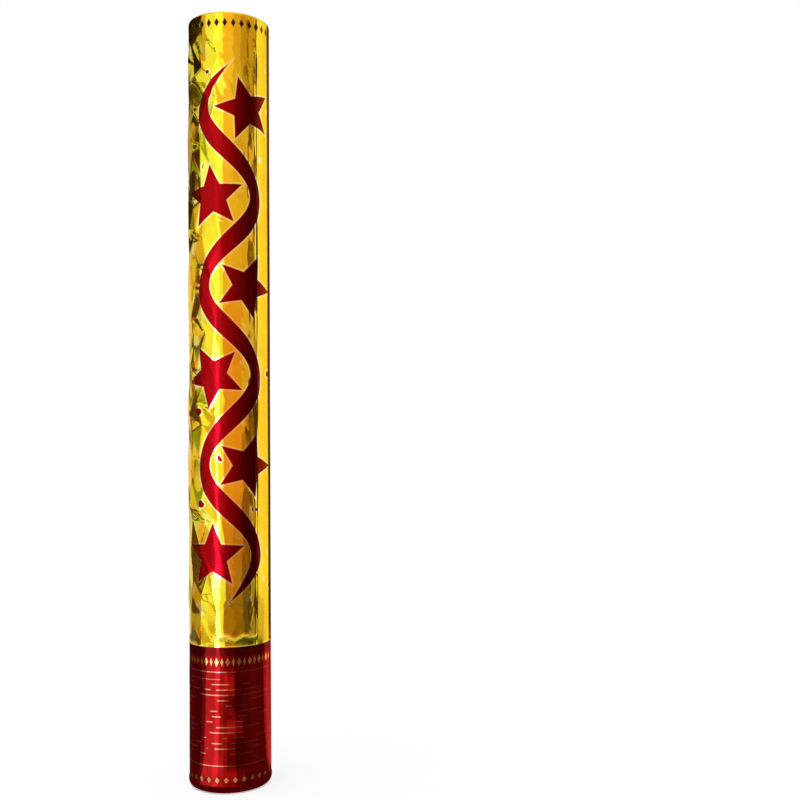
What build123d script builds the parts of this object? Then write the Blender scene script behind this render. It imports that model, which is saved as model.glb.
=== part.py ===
from build123d import *
import math
import os

# A twist-to-fire confetti popper, standing upright on its base.
# The origin is on the floor at the middle of the base, and +Z runs up the tube to the mouth.
# Twisting the grip turns the air bottle's neck inside the barrel. A pin across the neck rides in
# two helical slots, lifts the stopper off its ports, and the air drives the wad, the confetti and
# the mouth disc out of the barrel.
# All lengths are in millimetres and all angles in degrees.

# Card tubes
overall_length = 400.0
grip_length = 73.9
seam_gap = 0.6
tube_bore = 38.0
tube_wall = 2.0
rim_round_share = 0.48

# Foil wraps
foil_thickness = 0.15
glue_line = 0.05
muzzle_hem = 5.0
lap_width = 8.0
barrel_lap_angle = -49.0
grip_lap_angle = 110.0

# Base plug and label
base_flare = 0.3
base_flare_height = 1.4
base_flange = 4.2
base_edge_round = 3.0
base_hem_width = 5.0
base_spigot_depth = 12.0
label_recess = 0.9
label_thickness = 0.3
filler_access_radius = 6.0
dog_count = 4
dog_width = 4.0
dog_height = 1.6
dog_clearance = 0.2
dog_inner_share = 0.55
dog_outer_share = 0.85

# Coupling sleeve, on which the barrel turns
sleeve_clearance = 0.12
sleeve_wall = 1.7
sleeve_length = 98.0
sleeve_lead_in = 0.6
end_gap = 0.3

# Air bottle and its charging plug
bottle_gap = 0.2
bottle_body_length = 112.0
bottle_shoulder = 10.0
bottle_mouth_height = 9.0
bottle_wall = 1.8
bottle_floor = 5.0
bottle_foot_round = 2.5
bottle_shoulder_round = 6.0
bottle_neck_round = 3.0
mouth_bore_radius = 7.5
mouth_wall = 2.6
filler_radius = 3.0
filler_flange_radius = 5.0
filler_flange = 1.4
filler_lip_radius = 4.2
filler_lip = 1.5
filler_slit_radius = 0.6

# Valve body, and what lets the barrel turn on its neck
gasket_thickness = 1.0
valve_flange = 2.5
valve_flange_overhang = 1.0
neck_radius = 7.0
valve_bore_radius = 4.0
washer_thickness = 1.0
washer_clearance = 0.15
axial_play = 0.15
bearing_clearance = 0.08
clip_thickness = 1.0
clip_reach = 2.0
clip_groove_depth = 0.8
clip_opening = 70.0
port_count = 4
port_radius = 1.2
port_margin = 0.8

# Stopper, its seal and the pin
stopper_clearance = 0.08
seal_section_radius = 0.75
seal_squeeze_gap = 0.04
seal_margin = 0.4
stopper_foot = 1.2
stopper_head_radius = 6.0
stopper_head = 2.0
pin_radius = 1.25
pin_clearance = 0.25
pin_fit = 0.02

# Twist and lift
twist_angle = 120.0
stopper_lift = 5.0

# Bulkhead housing and cam sleeve in the barrel
web_thickness = 3.0
skirt_height = 13.0
skirt_wall = 2.0
rib_count = 6
rib_width = 1.8
rib_height = 6.0
cam_bore_clearance = 0.4
cam_wall = 3.2
cam_flange_width = 3.0
cam_flange = 2.0
cam_top_wall = 2.5
cam_clip_clearance = 0.35

# Wad and its seat
wad_gap = 1.5
wad_seat_height = 8.0
wad_seat_width = 3.0
pusher_thickness = 1.5
felt_thickness = 5.0
felt_round = 0.8
charge_clearance = 0.3

# Confetti
confetti_gap = 0.35
bay_count = 4
slip_thickness = 0.3
slip_row_height = 7.5
slip_cell_margin = 0.5
slip_side_margin = 1.0
gold_disc_radius = 13.0
gold_disc_thickness = 0.3
gold_disc_sides = 24
slip_colours = ["red", "orange", "gold", "green", "blue", "magenta", "turquoise"]
colour_step = 3

# Mouth closure
mouth_recess = 6.0
mouth_disc_thickness = 1.2
mouth_clearance = 0.15

# One overrun serves every cut
overrun = 1.0

# Radii that several pieces share
tube_inner = tube_bore / 2
tube_outer = tube_inner + tube_wall
foil_outer = tube_outer + glue_line + foil_thickness
hem_inner = tube_inner - glue_line - foil_thickness
rim_round = tube_wall * rim_round_share
glued_radius = tube_inner - glue_line
sleeve_outer = tube_inner - sleeve_clearance
sleeve_inner = sleeve_outer - sleeve_wall
bottle_radius = sleeve_inner - bottle_gap
mouth_outer = mouth_bore_radius + mouth_wall
flange_radius = tube_outer + base_flare
hem_end_radius = flange_radius - base_edge_round - base_hem_width
label_radius = hem_end_radius - label_recess
valve_flange_radius = mouth_outer + valve_flange_overhang
clip_groove_radius = neck_radius - clip_groove_depth
clip_outer = neck_radius + clip_reach
cam_bore_radius = neck_radius + cam_bore_clearance
cam_outer = cam_bore_radius + cam_wall
cam_flange_radius = cam_outer + cam_flange_width
slot_half_width = pin_radius + pin_clearance
stopper_radius = valve_bore_radius - stopper_clearance
seal_outer = valve_bore_radius - seal_squeeze_gap
seal_ring_radius = seal_outer - seal_section_radius
charge_radius = hem_inner - charge_clearance
mouth_disc_radius = hem_inner - mouth_clearance

# Heights, from the floor up
flange_low = foil_thickness + glue_line
flange_top = flange_low + base_flange
spigot_top = flange_top + base_spigot_depth
sleeve_low = spigot_top + end_gap
barrel_low = grip_length + seam_gap
barrel_top = overall_length - foil_thickness - glue_line
bottle_low = flange_top
shoulder_low = bottle_low + bottle_body_length
mouth_low = shoulder_low + bottle_shoulder
bottle_top = mouth_low + bottle_mouth_height
gasket_top = bottle_top + gasket_thickness
valve_flange_top = gasket_top + valve_flange
washer_top = valve_flange_top + washer_thickness
web_low = washer_top + axial_play
web_top = web_low + web_thickness
clip_low = web_top + axial_play
clip_top = clip_low + clip_thickness
port_height = clip_top + port_margin + port_radius
seal_height = port_height - port_radius - seal_margin - seal_section_radius
pin_height = port_height + port_radius + port_margin + slot_half_width
pin_high = pin_height + stopper_lift
cam_top = pin_high + slot_half_width + cam_top_wall
neck_top = cam_top
stopper_low = seal_height - seal_section_radius - stopper_foot
head_low = neck_top + end_gap
head_top = head_low + stopper_head
wad_low = head_top + stopper_lift + wad_gap
felt_low = wad_low + pusher_thickness
felt_top = felt_low + felt_thickness
mouth_foil_top = overall_length - mouth_recess
mouth_disc_top = mouth_foil_top - foil_thickness
mouth_disc_low = mouth_disc_top - mouth_disc_thickness


def disc(radius, low, high):
    """Round plate about the Z axis, from one height to another."""
    plate = Cylinder(radius, high - low, align=(Align.CENTER, Align.CENTER, Align.MIN))
    return Pos(0, 0, low) * plate


def ring(inner, outer, low, high):
    """Round plate with a hole through it."""
    return disc(outer, low, high) - disc(inner, low - overrun, high + overrun)


def section(points, rounds):
    """Face in the XZ plane through (radius, height) points, each corner rounded as asked."""
    return Plane.XZ * make_face(FilletPolyline(*points, radius=rounds, close=True))


def turned(points, rounds):
    """Solid of revolution about the Z axis."""
    return revolve(section(points, rounds), axis=Axis.Z)


def around(count, shape):
    """That shape repeated evenly about the Z axis."""
    return [Rot(0, 0, 360 * k / count) * shape for k in range(count)]


def radial_bar(width, inner, outer, low, high):
    """Bar with a flat top that runs outwards along +X."""
    bar = Box(outer - inner, width, high - low, align=(Align.MIN, Align.CENTER, Align.MIN))
    return Pos(inner, 0, low) * bar


def radial_rod(radius, inner, outer, height):
    """Round rod that runs outwards along +X."""
    rod = Cylinder(radius, outer - inner, align=(Align.CENTER, Align.CENTER, Align.MIN))
    return Pos(inner, 0, height) * Rot(0, 90, 0) * rod


def foil_lap(angle, low, high):
    """The strip where the end of a wrap lies over its start."""
    lap_span = math.degrees(lap_width / foil_outer)
    inner = foil_outer - foil_thickness / 2
    outer = foil_outer + foil_thickness
    strip = section([(inner, low), (outer, low), (outer, high), (inner, high)], 0)
    return Rot(0, 0, angle) * revolve(strip, axis=Axis.Z, revolution_arc=lap_span)


def barrel_tube():
    points = [
        (tube_inner, barrel_low),
        (tube_outer, barrel_low),
        (tube_outer, barrel_top),
        (tube_inner, barrel_top),
    ]
    return turned(points, [0, 0, rim_round, rim_round])


def barrel_foil():
    """The wrap, folded over the rim and hemmed inside the mouth."""
    hem_low = barrel_top - muzzle_hem
    under_round = rim_round + glue_line
    outer_round = under_round + foil_thickness
    glued_top = barrel_top + glue_line
    points = [
        (glued_radius, hem_low),
        (glued_radius, glued_top),
        (tube_outer + glue_line, glued_top),
        (tube_outer + glue_line, barrel_low),
        (foil_outer, barrel_low),
        (foil_outer, overall_length),
        (hem_inner, overall_length),
        (hem_inner, hem_low),
    ]
    rounds = [0, under_round, under_round, 0, 0, outer_round, outer_round, 0]
    lap_high = overall_length - outer_round - foil_thickness
    return turned(points, rounds) + foil_lap(barrel_lap_angle, barrel_low, lap_high)


def grip_tube():
    points = [
        (tube_inner, flange_top),
        (tube_outer, flange_top),
        (tube_outer, grip_length),
        (tube_inner, grip_length),
    ]
    return turned(points, 0)


def grip_foil():
    """The red wrap, drawn over the base plug's flange and hemmed under it."""
    flare_high = flange_top + base_flare_height
    under_radius = tube_outer + glue_line
    under_flare = flange_radius + glue_line
    under_base = flange_low - glue_line
    outer_flare = under_flare + foil_thickness
    under_round = base_edge_round + glue_line
    points = [
        (under_radius, grip_length),
        (under_radius, flare_high),
        (under_flare, flange_top),
        (under_flare, under_base),
        (hem_end_radius, under_base),
        (hem_end_radius, 0),
        (outer_flare, 0),
        (outer_flare, flange_top),
        (foil_outer, flare_high),
        (foil_outer, grip_length),
    ]
    rounds = [0, 0, 0, under_round, 0, 0, under_round + foil_thickness, 0, 0, 0]
    return turned(points, rounds) + foil_lap(grip_lap_angle, flare_high, grip_length)


def drive_dog(clearance):
    """Rib that keys the bottle's foot to the base plug, or with a clearance the slot for it."""
    return radial_bar(
        dog_width + 2 * clearance,
        bottle_radius * dog_inner_share - clearance,
        bottle_radius * dog_outer_share + clearance,
        flange_top - clearance,
        flange_top + dog_height + clearance,
    )


def base_plug():
    flange_points = [
        (0, flange_low),
        (flange_radius, flange_low),
        (flange_radius, flange_top),
        (0, flange_top),
    ]
    plug = turned(flange_points, [0, base_edge_round, 0, 0])
    plug += ring(bottle_radius + bottle_gap, glued_radius, flange_top, spigot_top)
    plug += around(dog_count, drive_dog(0))
    plug -= disc(label_radius + label_recess, flange_low - overrun, flange_low + label_recess)
    return plug - disc(filler_access_radius, flange_low, flange_top + overrun)


def base_label():
    label_top = flange_low + label_recess
    return disc(label_radius, label_top - label_thickness, label_top)


def coupling_sleeve():
    sleeve_top = sleeve_low + sleeve_length
    points = [
        (sleeve_inner, sleeve_low),
        (sleeve_outer, sleeve_low),
        (sleeve_outer, sleeve_top - sleeve_lead_in),
        (sleeve_outer - sleeve_lead_in, sleeve_top),
        (sleeve_inner, sleeve_top),
    ]
    return turned(points, 0)


def air_cylinder():
    outer_points = [
        (0, bottle_low),
        (bottle_radius, bottle_low),
        (bottle_radius, shoulder_low),
        (mouth_outer, mouth_low),
        (mouth_outer, bottle_top),
        (0, bottle_top),
    ]
    outer_rounds = [0, bottle_foot_round, bottle_shoulder_round, bottle_neck_round, 0, 0]
    inner_radius = bottle_radius - bottle_wall
    inner_low = bottle_low + bottle_floor
    inner_points = [
        (0, inner_low),
        (inner_radius, inner_low),
        (inner_radius, shoulder_low),
        (mouth_bore_radius, mouth_low),
        (mouth_bore_radius, bottle_top + overrun),
        (0, bottle_top + overrun),
    ]
    inner_rounds = [0, bottle_foot_round, bottle_shoulder_round - bottle_wall, bottle_neck_round, 0, 0]
    bottle = turned(outer_points, outer_rounds) - turned(inner_points, inner_rounds)
    bottle -= disc(filler_radius, bottle_low - overrun, inner_low + overrun)
    seat_radius = filler_flange_radius + end_gap
    bottle -= disc(seat_radius, bottle_low - overrun, bottle_low + filler_flange + end_gap)
    return bottle - around(dog_count, drive_dog(dog_clearance))


def filler_plug():
    """Self-sealing rubber plug that a charging needle goes through."""
    flange_high = bottle_low + end_gap + filler_flange
    lip_low = bottle_low + bottle_floor
    plug = disc(filler_flange_radius, bottle_low + end_gap, flange_high)
    plug += disc(filler_radius - glue_line, flange_high, lip_low)
    plug += disc(filler_lip_radius, lip_low, lip_low + filler_lip)
    return plug - disc(filler_slit_radius, bottle_low, lip_low)


def mouth_gasket():
    return ring(mouth_bore_radius, mouth_outer, bottle_top, gasket_top)


def valve_body():
    """The outlet neck: spigot in the bottle's mouth, flange, bored neck, ports and keyways."""
    body = disc(mouth_bore_radius - glue_line, mouth_low + end_gap, gasket_top)
    body += disc(valve_flange_radius, gasket_top, valve_flange_top)
    body += disc(neck_radius, valve_flange_top, neck_top)
    body -= disc(valve_bore_radius, mouth_low, neck_top + overrun)
    body -= ring(clip_groove_radius, clip_outer, clip_low - pin_fit, clip_top + pin_fit)
    first_port = Rot(0, 0, 180 / port_count) * radial_rod(port_radius, 0, clip_outer, port_height)
    body -= around(port_count, first_port)
    keyway_low = pin_height - slot_half_width
    keyway = radial_bar(2 * slot_half_width, 0, clip_outer, keyway_low, neck_top + overrun)
    return body - around(2, keyway)


def thrust_washer():
    inner = neck_radius + washer_clearance
    return ring(inner, valve_flange_radius, valve_flange_top, washer_top)


def retaining_clip():
    clip = ring(clip_groove_radius + pin_fit, clip_outer, clip_low, clip_top)
    half_opening = clip_outer * math.sin(math.radians(clip_opening / 2))
    mouth = radial_bar(2 * half_opening, 0, clip_outer + overrun, clip_low - overrun, clip_top + overrun)
    return clip - Rot(0, 0, 180 / port_count) * mouth


def release_housing():
    """Bulkhead glued in the barrel, with a bearing for the neck and ribs to its skirt."""
    skirt_top = web_low + skirt_height
    housing = ring(neck_radius + bearing_clearance, glued_radius, web_low, web_top)
    housing += ring(glued_radius - skirt_wall, glued_radius, web_low, skirt_top)
    rib = radial_bar(
        rib_width,
        cam_flange_radius + end_gap,
        glued_radius - skirt_wall / 2,
        web_low,
        web_top + rib_height,
    )
    return housing + around(rib_count, rib)


def cam_slot():
    """Helical slot that starts over +X and climbs as it goes round."""
    inner = cam_bore_radius - overrun
    outer = cam_outer + overrun
    middle = (inner + outer) / 2
    turn = stopper_lift * 360 / twist_angle
    path = Helix(turn, stopper_lift, middle, center=(0, 0, pin_height))
    profile = Plane.XZ * Pos(middle, pin_height) * Rectangle(outer - inner, 2 * slot_half_width)
    slot = sweep(profile, path=path, binormal=Edge.make_line((0, 0, pin_height), (0, 0, pin_high)))
    slot += radial_rod(slot_half_width, inner, outer, pin_height)
    return slot + Rot(0, 0, twist_angle) * radial_rod(slot_half_width, inner, outer, pin_high)


def cam_sleeve():
    clip_room_top = clip_top + axial_play + cam_clip_clearance
    clip_room_radius = clip_outer + cam_clip_clearance
    sleeve = ring(cam_bore_radius, cam_outer, web_top, cam_top)
    sleeve += ring(cam_bore_radius, cam_flange_radius, web_top, web_top + cam_flange)
    sleeve -= disc(clip_room_radius, web_top - overrun, clip_room_top)
    return sleeve - around(2, cam_slot())


def stopper():
    plug = disc(stopper_radius, stopper_low, head_low) + disc(stopper_head_radius, head_low, head_top)
    groove_half = seal_section_radius + pin_fit
    groove_floor = seal_ring_radius - seal_section_radius - pin_fit
    plug -= ring(groove_floor, valve_bore_radius, seal_height - groove_half, seal_height + groove_half)
    return plug - around(2, radial_rod(pin_radius + pin_fit, 0, valve_bore_radius, pin_height))


def stopper_seal():
    return Pos(0, 0, seal_height) * Torus(seal_ring_radius, seal_section_radius)


def cross_pin():
    reach = cam_outer - end_gap
    return radial_rod(pin_radius, -reach, reach, pin_height)


def wad_seat_ring():
    return ring(glued_radius - wad_seat_width, glued_radius, wad_low - wad_seat_height, wad_low)


def pusher_disc():
    return disc(charge_radius, wad_low, felt_low)


def felt_wad():
    points = [(0, felt_low), (charge_radius, felt_low), (charge_radius, felt_top), (0, felt_top)]
    return turned(points, [0, felt_round, felt_round, 0])


def mouth_disc():
    return disc(mouth_disc_radius, mouth_disc_low, mouth_disc_top)


def mouth_foil():
    return disc(mouth_disc_radius, mouth_disc_top, mouth_foil_top)


def confetti():
    """Slips in four zigzag columns, parted into bays by gold discs, as {node name: solids}."""
    deck = gold_disc_thickness + confetti_gap
    bay_height = (mouth_disc_low - felt_top - confetti_gap) / bay_count
    row_count = round((bay_height - deck) / slip_row_height)
    pitch = (bay_height - deck) / row_count
    cell = charge_radius / math.sqrt(2)
    run = cell - 2 * slip_cell_margin
    rise = pitch - confetti_gap - slip_thickness
    tilt = math.degrees(math.atan2(rise, run))
    slip = Box(math.hypot(run, rise), cell - 2 * slip_side_margin, slip_thickness)
    plate = extrude(RegularPolygon(gold_disc_radius, gold_disc_sides), gold_disc_thickness)

    pieces = {f"confetti_{colour}": [] for colour in slip_colours}
    pieces["confetti_gold_discs"] = []
    layer_count = bay_count * row_count
    for bay in range(bay_count):
        bay_low = felt_top + confetti_gap + bay * bay_height
        nearer_end = 0 if 2 * bay < bay_count else layer_count
        for row in range(row_count):
            height = bay_low + (row + 0.5) * pitch
            lean = tilt if row % 2 else -tilt
            from_end = nearer_end - bay * row_count - row
            for column in range(4):
                place = Rot(0, 0, 90 * column) * Pos(cell / 2, cell / 2, height) * Rot(0, lean, 0)
                colour = slip_colours[(colour_step * column + from_end) % len(slip_colours)]
                pieces[f"confetti_{colour}"].append(place * slip)
        deck_low = bay_low + bay_height - deck
        pieces["confetti_gold_discs"].append(Pos(0, 0, deck_low) * plate)
    return pieces


def write(name, shapes):
    """One STEP file per node, holding its separate solids."""
    solids = [solid for shape in shapes for solid in shape.solids()]
    export_step(solids[0] if len(solids) == 1 else Compound(solids), f"parts/{name}.step")


single_pieces = [
    barrel_tube,
    barrel_foil,
    grip_tube,
    grip_foil,
    base_plug,
    base_label,
    coupling_sleeve,
    air_cylinder,
    filler_plug,
    mouth_gasket,
    valve_body,
    thrust_washer,
    retaining_clip,
    release_housing,
    cam_sleeve,
    stopper,
    stopper_seal,
    cross_pin,
    wad_seat_ring,
    pusher_disc,
    felt_wad,
    mouth_disc,
    mouth_foil,
]

os.makedirs("parts", exist_ok=True)
for piece in single_pieces:
    write(piece.__name__, [piece()])
for node, shapes in confetti().items():
    write(node, shapes)
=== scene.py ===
import math
import random

import bmesh
import bpy
from mathutils import Matrix, Vector, noise
from mathutils.bvhtree import BVHTree


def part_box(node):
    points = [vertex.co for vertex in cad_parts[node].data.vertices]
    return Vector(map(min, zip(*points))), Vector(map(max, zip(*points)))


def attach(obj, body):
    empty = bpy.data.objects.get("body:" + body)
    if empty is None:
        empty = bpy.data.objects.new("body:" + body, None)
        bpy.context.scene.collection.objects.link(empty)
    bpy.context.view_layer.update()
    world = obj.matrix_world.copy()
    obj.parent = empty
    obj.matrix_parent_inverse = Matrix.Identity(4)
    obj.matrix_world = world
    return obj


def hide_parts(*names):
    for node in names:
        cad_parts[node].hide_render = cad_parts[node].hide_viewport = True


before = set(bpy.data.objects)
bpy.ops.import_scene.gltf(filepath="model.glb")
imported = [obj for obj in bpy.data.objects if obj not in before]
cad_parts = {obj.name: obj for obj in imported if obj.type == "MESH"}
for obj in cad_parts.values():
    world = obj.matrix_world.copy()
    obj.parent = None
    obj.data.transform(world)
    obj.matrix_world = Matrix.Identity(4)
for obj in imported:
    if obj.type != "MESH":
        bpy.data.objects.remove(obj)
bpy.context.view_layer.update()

mm = 0.001
random.seed(40)

# Places that lie closer together than this count as one
touch = 0.01 * mm

# Sizes that the wraps share with the solids, in metres
tube_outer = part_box("barrel_tube")[1].x
glue_line = 0.05 * mm
foil = 0.15 * mm
foil_inner = tube_outer + glue_line
foil_outer = foil_inner + foil
hem_gap = 0.15 * mm
hem_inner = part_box("mouth_foil")[1].x + hem_gap
barrel_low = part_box("barrel_foil")[0].z
barrel_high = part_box("barrel_foil")[1].z
grip_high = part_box("grip_foil")[1].z
flare_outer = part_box("base_plug")[1].x + glue_line + foil
flare_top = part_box("grip_tube")[0].z

# The barrel's film: its fold over the rim, its lip at the seam, and the lap of its free edge
rim_round = 1.16 * mm
seam_lip = 0.35 * mm
lip_low = barrel_low - seam_lip
lap_angle = math.radians(41)
lap_span = 8 * mm / foil_outer

# Facets of the films don't dent them further than this
facet_least = foil_outer - 0.08 * mm

# Millimetres once round the films, which every printed row divides evenly
girth = math.tau * foil_outer / mm


# Finishes


class Value:
    """A socket that sums and products can be written with."""

    def __init__(self, paint, socket):
        self.paint = paint
        self.socket = socket

    def math(self, operation, *others):
        sockets = dict(enumerate([self, *others]))
        return self.paint.node("ShaderNodeMath", {"operation": operation}, sockets)

    def __add__(self, other):
        return self.math("ADD", other)

    def __sub__(self, other):
        return self.math("SUBTRACT", other)

    def __rsub__(self, other):
        return self.math("MULTIPLY_ADD", -1.0, other)

    def __mul__(self, other):
        return self.math("MULTIPLY", other)

    def __truediv__(self, other):
        return self.math("DIVIDE", other)

    def __neg__(self):
        return self.math("MULTIPLY", -1.0)

    def __abs__(self):
        return self.math("ABSOLUTE")

    __radd__ = __add__
    __rmul__ = __mul__

    def within(self, limit, soft):
        """1 where this is under the limit and 0 over it, with a soft edge."""
        settings = {"interpolation_type": "SMOOTHSTEP"}
        sockets = {"Value": self, "From Min": limit + soft, "From Max": limit - soft}
        return self.paint.node("ShaderNodeMapRange", settings, sockets)


class Paint:
    """One node tree, and the method that adds every node to it."""

    def __init__(self, owner):
        owner.use_nodes = True
        self.owner = owner
        self.tree = owner.node_tree
        self.tree.nodes.clear()

    def node(self, kind, settings=None, sockets=None, out=0):
        made = self.tree.nodes.new(kind)
        for name, value in (settings or {}).items():
            if name == "stops":
                ramp = made.color_ramp.elements
                while len(ramp) < len(value):
                    ramp.new(0.5)
                for element, (place, colour) in zip(ramp, value):
                    element.position = place
                    element.color = (*colour, 1.0)
            else:
                setattr(made, name, value)
        for name, value in (sockets or {}).items():
            socket = made.inputs[name]
            if isinstance(value, Value):
                self.tree.links.new(value.socket, socket)
            elif socket.type == "RGBA":
                socket.default_value = (*value, 1.0)
            else:
                socket.default_value = value
        return Value(self, made.outputs[out]) if made.outputs else None

    def spot(self):
        """Object coordinates, in millimetres."""
        metres = self.node("ShaderNodeTexCoord", out="Object")
        return self.node("ShaderNodeVectorMath", {"operation": "SCALE"}, {0: metres, "Scale": 1 / mm})

    def parts(self, spot):
        """The x, y and z of a spot."""
        return [self.node("ShaderNodeSeparateXYZ", {}, {0: spot}, out=axis) for axis in range(3)]

    def at(self, x, y, z=0.0):
        return self.node("ShaderNodeCombineXYZ", {}, {0: x, 1: y, 2: z})

    def mix(self, share, low, high):
        return self.node("ShaderNodeMix", {"data_type": "RGBA"}, {0: share, 6: low, 7: high}, out=2)

    def ramp(self, value, *stops):
        return self.node("ShaderNodeValToRGB", {"stops": stops}, {0: value})

    def cloud(self, spot, scale, detail=2.0, rough=0.5, distortion=0.0):
        shape = {"Scale": scale, "Detail": detail, "Roughness": rough, "Distortion": distortion}
        return self.node("ShaderNodeTexNoise", {}, {"Vector": spot, **shape})

    def cells(self, spot, out="Distance"):
        return self.node("ShaderNodeTexVoronoi", {}, {"Vector": spot, "Scale": 1.0}, out=out)

    def chance(self, spot):
        """A chance number from 0 to 1, the same all over each cell."""
        return self.node("ShaderNodeSeparateColor", {}, {0: self.cells(spot, out="Color")})

    def bump(self, height, depth):
        return self.node("ShaderNodeBump", {}, {"Height": height, "Distance": depth * mm, "Strength": 1.0})

    def surface(self, shader):
        in_world = isinstance(self.owner, bpy.types.World)
        kind = "ShaderNodeOutputWorld" if in_world else "ShaderNodeOutputMaterial"
        self.node(kind, {}, {"Surface": shader})
        return self.owner

    def principled(self, **sockets):
        """The finished material, from its sockets' names with underscores for spaces."""
        named = {name.replace("_", " "): value for name, value in sockets.items()}
        return self.surface(self.node("ShaderNodeBsdfPrincipled", {}, {"IOR": 1.5, **named}))


def paint(name):
    return Paint(bpy.data.materials.new(name))


def shade(tone, times, plus=0.0):
    """A tone made darker or paler."""
    return tuple(min(1.0, channel * times + plus) for channel in tone)


gold_tone = (0.92, 0.60, 0.016)
lemon_tone = (0.93, 0.68, 0.028)
amber_tone = (0.90, 0.50, 0.009)
orange_tone = (0.95, 0.30, 0.004)
lime_tone = (0.46, 0.62, 0.03)
cream_tone = (0.98, 0.84, 0.36)
# Pale tone of the painted highlight along the creases and the lip
glint_tone = (1.0, 0.86, 0.13)
# The red ink as painted in shade and in highlight
ink_painted_shade = (0.095, 0.0006, 0.0015)
ink_painted_highlight = (0.41, 0.002, 0.005)
pale_line = (1.0, 0.80, 0.36)
dark_ink = (0.05, 0.008, 0.003)
gold_edge = (1.0, 0.8, 0.2)
shard_tints = [
    (0.0, gold_tone),
    (0.4, gold_tone),
    (0.5, lemon_tone),
    (0.6, cream_tone),
    (0.7, lime_tone),
    (0.78, gold_tone),
    (0.88, orange_tone),
]

grip_deep = (0.40, 0.003, 0.005)
grip_red = (0.48, 0.004, 0.006)
grip_bright = (0.56, 0.008, 0.007)
grip_shadow = (0.07, 0.001, 0.002)
grip_line = (1.0, 0.40, 0.30)
grip_mark = (1.0, 0.52, 0.22)
red_edge = (1.0, 0.15, 0.15)


def round_the_tube(x, y):
    """Millimetres round the wrap from the front, rising to the right."""
    return x.math("ARCTAN2", -y) * (foil_outer / mm)


def off_middle(place, pitch):
    """How far a place is from the middle of its repeat."""
    return abs((place / pitch).math("FRACT") - 0.5) * pitch


def diamonds(around, z, count, height, half_wide, half_tall, soft):
    """A row of small diamonds right round the tube, 1 inside them and 0 outside."""
    across = off_middle(around, girth / count)
    return (across / half_wide + abs(z - height) / half_tall - 1.0).within(0.0, soft)


def star_edge(across, up, size):
    """Millimetres out from the edge of a five-point star, negative inside it."""
    points = 5
    fold = math.tau / points
    inner = size * 0.45
    notch = Vector((inner * math.cos(fold / 2), inner * math.sin(fold / 2)))
    side = Vector((notch.y, size - notch.x)).normalized()
    turn = abs((across.math("ARCTAN2", up) / fold + 0.5).math("FRACT") - 0.5) * fold
    reach = (across * across + up * up).math("SQRT")
    return (reach * turn.math("COSINE") - size) * side.x + reach * turn.math("SINE") * side.y


def ribbon_and_stars(p, around, z):
    """Where the red ink, its painted highlight and its pale outline lie, each from 0 to 1."""
    low, high = 97.0, 373.0
    panel = girth / 2
    pitch = 46.0
    across = ((around / panel + 0.5).math("FRACT") - 0.5) * panel
    past_end = abs(z - (low + high) / 2) - (high - low) / 2

    # Stars, in turn at the left and right, each leaning its own way
    star_size = 17.0
    star_aside = 9.0
    climb = z - low
    row = (climb / pitch).math("FLOOR")
    up = climb - row * pitch - pitch / 2
    side = (row * 0.5).math("FRACT") * 4.0 - 1.0
    aside = across - side * star_aside
    lean = (row * 2.4).math("SINE") * 0.5
    star_across = aside * lean.math("COSINE") - up * lean.math("SINE")
    star_up = aside * lean.math("SINE") + up * lean.math("COSINE")
    star = star_edge(star_across, star_up, star_size).math("MAXIMUM", past_end)

    # The ribbon that winds between them, swelling as it goes and tapered at its ends
    sway = 14.0
    half_width = 3.9
    swell = 0.8
    taper_length = 22.0
    phase = climb * (math.pi / pitch)
    slope = phase.math("COSINE") * (sway * math.pi / pitch)
    off_ribbon = abs(across - phase.math("SINE") * sway) / (slope * slope + 1.0).math("SQRT")
    width = (phase * 2.0 + 1.1).math("SINE") * swell + half_width
    ribbon = off_ribbon - width * (past_end / -taper_length).math("MINIMUM", 1.0)

    # Scattered spots that keep clear of both
    cell = 13.0
    clear = 3.2
    cells = p.at(around / cell, z / cell)
    spot_size = p.chance(cells) * 1.7 + 0.8
    figures = star.math("MINIMUM", ribbon)
    spot = (p.cells(cells) * cell - spot_size).math("MAXIMUM", clear - figures).math("MAXIMUM", past_end)

    edge = figures.math("MINIMUM", spot)
    ink = edge.within(0.0, 0.12)
    outline = edge.within(0.8, 0.2) * (1.0 - ink)

    # Painted highlight: the ink is painted brightest along a strip left of each panel's middle, and a little
    # brighter on the lap, and darker elsewhere as painted shade
    strip_middle = -10.0
    strip_half = 10.0
    past_lap = (-around).within(-lap_angle * foil_outer / mm, 0.3)
    painted_ink_highlight = abs(across - strip_middle).within(strip_half, strip_half).math("MAXIMUM", past_lap * 0.3)
    return ink, painted_ink_highlight, outline


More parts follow.
